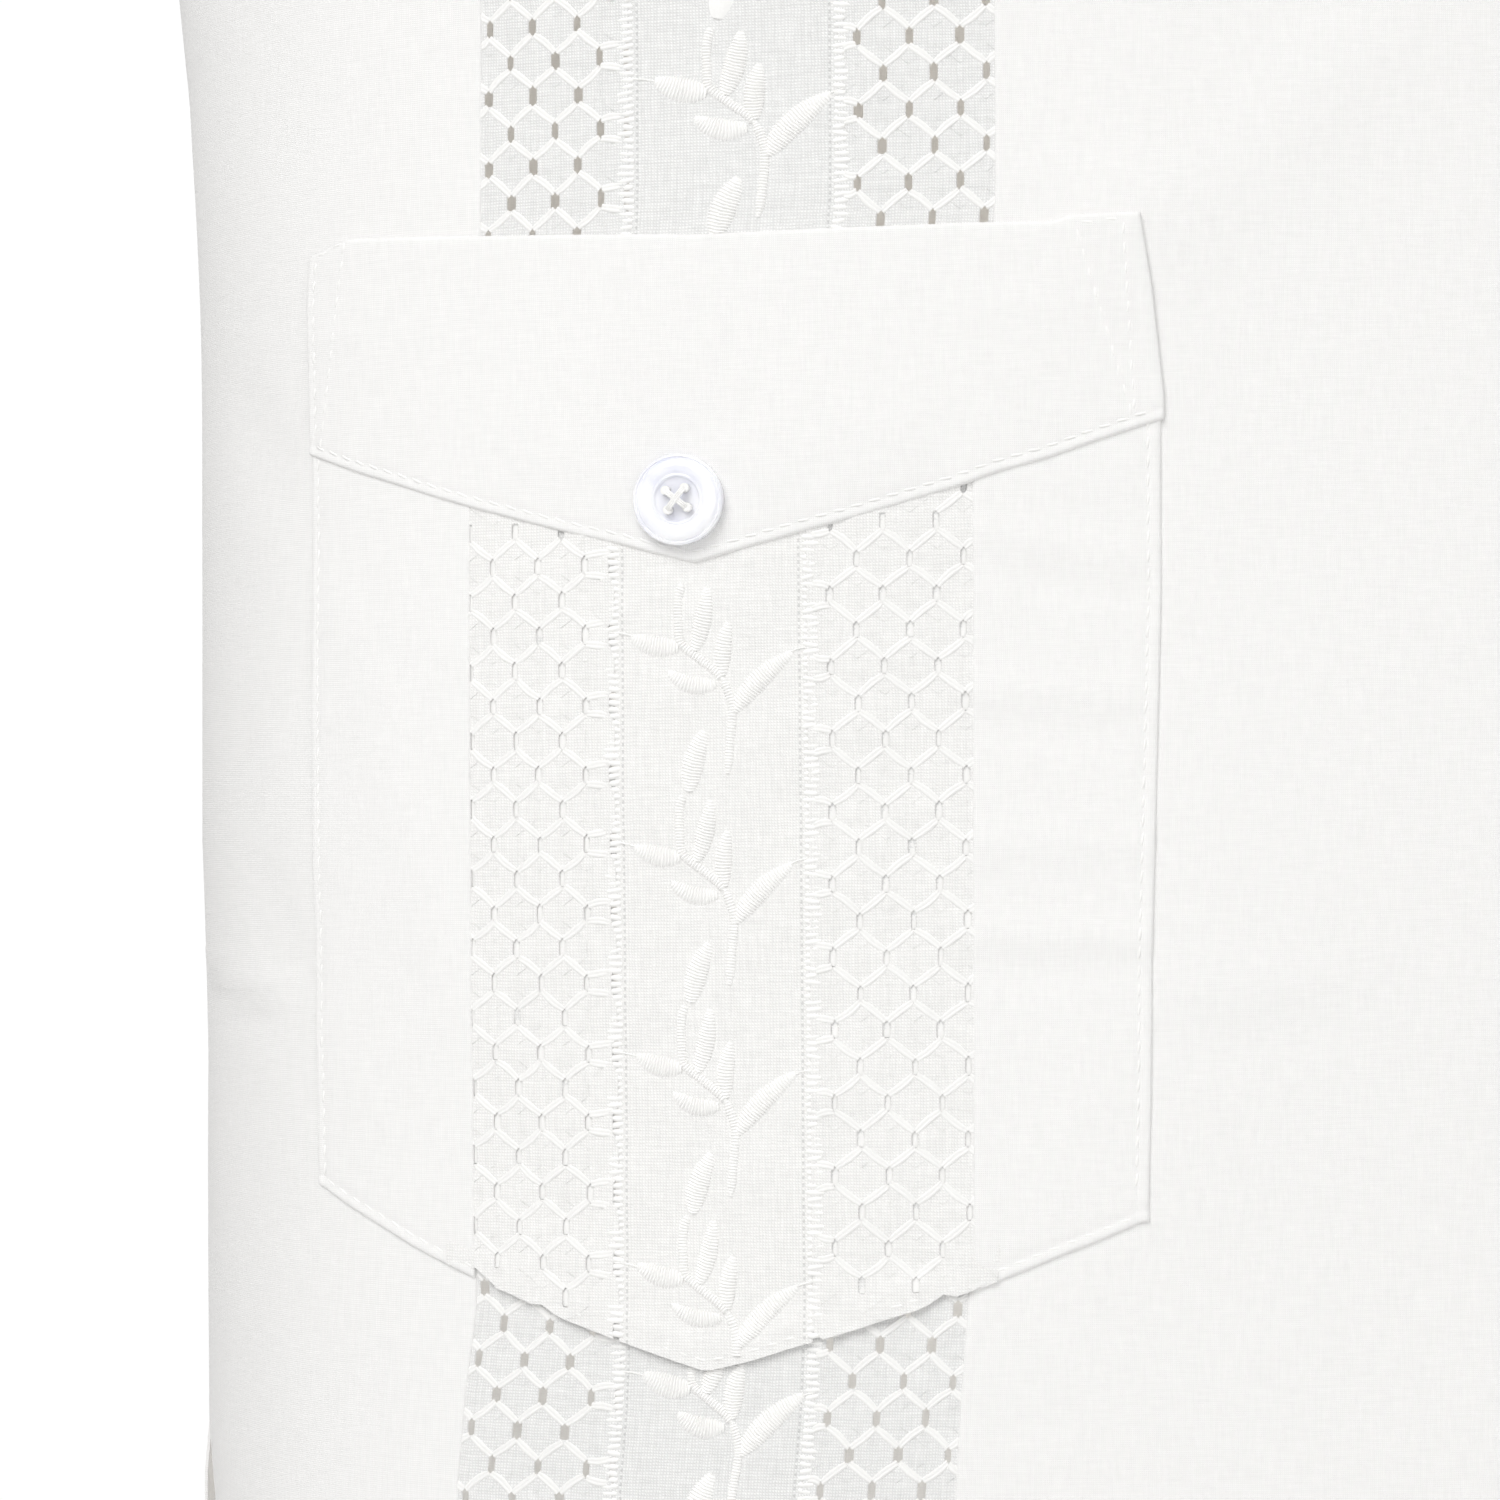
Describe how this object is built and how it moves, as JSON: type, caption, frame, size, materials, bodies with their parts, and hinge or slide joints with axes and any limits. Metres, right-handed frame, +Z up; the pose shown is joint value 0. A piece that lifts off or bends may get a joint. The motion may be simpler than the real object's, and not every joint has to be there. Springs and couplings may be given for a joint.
{
  "type": "guayabera shirt",
  "caption": "Short-sleeved guayabera shirt in worn form: openwork strips down the front, pointed patch pockets with turned-down facings and buttons, yoke, collar and side vents.",
  "frame": {"origin": "centre of the neck, level with the neck-to-shoulder points, where the wearer holds the shirt up", "axes": "+Z up along the wearer, the front faces -Y, the wearer's right is -X"},
  "size_m": [0.7444, 0.2254, 0.7671],
  "materials": {
    "poplin": "plain weave, matt",
    "batiste": "sheer plain weave with openwork and white embroidery",
    "button": "translucent, polished"
  },
  "bodies": {
    "root": {"back": "poplin", "button_front_1": "button", "button_front_2": "button", "button_front_3": "button", "button_front_4": "button", "button_front_5": "button", "button_front_6": "button", "button_neck": "button", "collar": "poplin", "collar_stand": "poplin", "front_left_centre": "poplin", "front_left_side": "poplin", "front_left_strip": "batiste", "front_right_centre": "poplin", "front_right_side": "poplin", "front_right_strip": "batiste", "placket": "poplin", "pocket_lower_left_button": "button", "pocket_lower_left_centre": "poplin", "pocket_lower_left_facing": "poplin", "pocket_lower_left_side": "poplin", "pocket_lower_left_strip": "batiste", "pocket_lower_right_button": "button", "pocket_lower_right_centre": "poplin", "pocket_lower_right_facing": "poplin", "pocket_lower_right_side": "poplin", "pocket_lower_right_strip": "batiste", "pocket_upper_left_button": "button", "pocket_upper_left_centre": "poplin", "pocket_upper_left_facing": "poplin", "pocket_upper_left_side": "poplin", "pocket_upper_left_strip": "batiste", "pocket_upper_right_button": "button", "pocket_upper_right_centre": "poplin", "pocket_upper_right_facing": "poplin", "pocket_upper_right_side": "poplin", "pocket_upper_right_strip": "batiste", "sleeve_left": "poplin", "sleeve_right": "poplin", "yoke": "poplin"}
  },
  "joints": []
}
